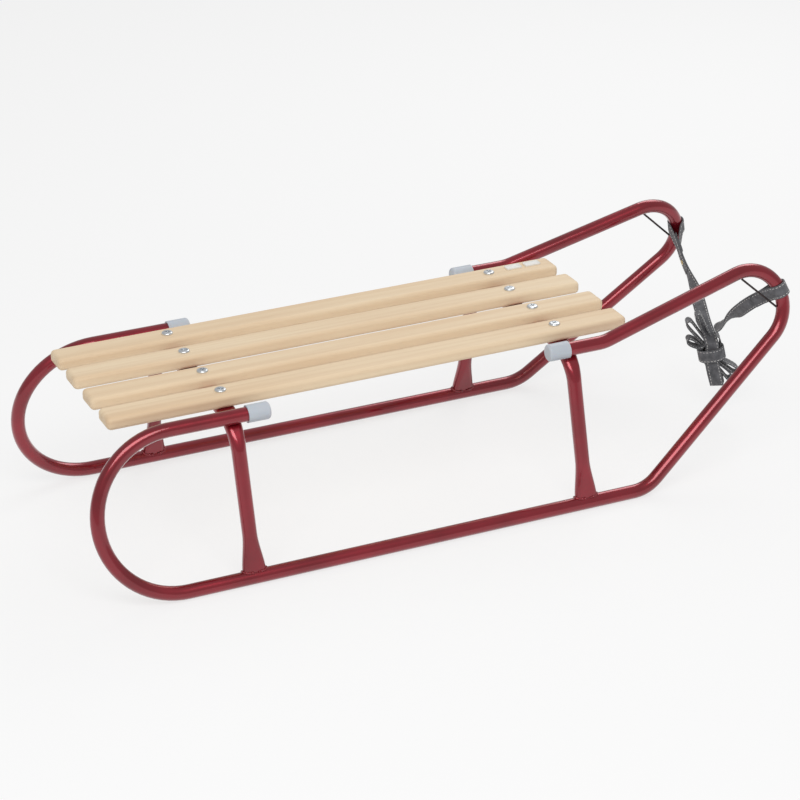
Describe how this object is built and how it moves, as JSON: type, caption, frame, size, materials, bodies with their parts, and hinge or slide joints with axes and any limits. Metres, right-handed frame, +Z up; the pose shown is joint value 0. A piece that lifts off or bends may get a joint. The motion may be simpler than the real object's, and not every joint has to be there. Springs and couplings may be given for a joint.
{
  "type": "metal sled",
  "caption": "Snow sled with bent tube side frames, splayed arch legs, a slatted wooden seat, plastic end caps and a webbing pull strap tied in a hank.",
  "frame": {"origin": "on the snow under the middle of the sled, measured without the pull strap", "axes": "+X forward to the nose, +Y the rider's left, +Z up"},
  "size_m": [1.0622, 0.434, 0.2948],
  "materials": {
    "red_lacquer": "deep clear red lacquer over steel tube",
    "beech": "pale planed wood, thin satin varnish",
    "grey_plastic": "satin light grey",
    "dark_wire": "dark satin",
    "webbing": "woven grey webbing with pale stitching",
    "zinc_steel": "bright zinc plate",
    "brass": "polished",
    "blank_sticker": "plain, matt, unprinted"
  },
  "bodies": {
    "root": {"front_arch": "red_lacquer", "left_front_cap": "grey_plastic", "left_rear_cap": "grey_plastic", "left_side_frame": "red_lacquer", "left_strap_loop": "webbing", "left_strap_run": "webbing", "left_strap_stay": "dark_wire", "rear_arch": "red_lacquer", "right_front_cap": "grey_plastic", "right_rear_cap": "grey_plastic", "right_side_frame": "red_lacquer", "right_strap_loop": "webbing", "right_strap_run": "webbing", "right_strap_stay": "dark_wire", "seat_slat_1": "beech", "seat_slat_2": "beech", "seat_slat_3": "beech", "seat_slat_4": "beech", "strap_hank": "webbing"}
  },
  "joints": []
}
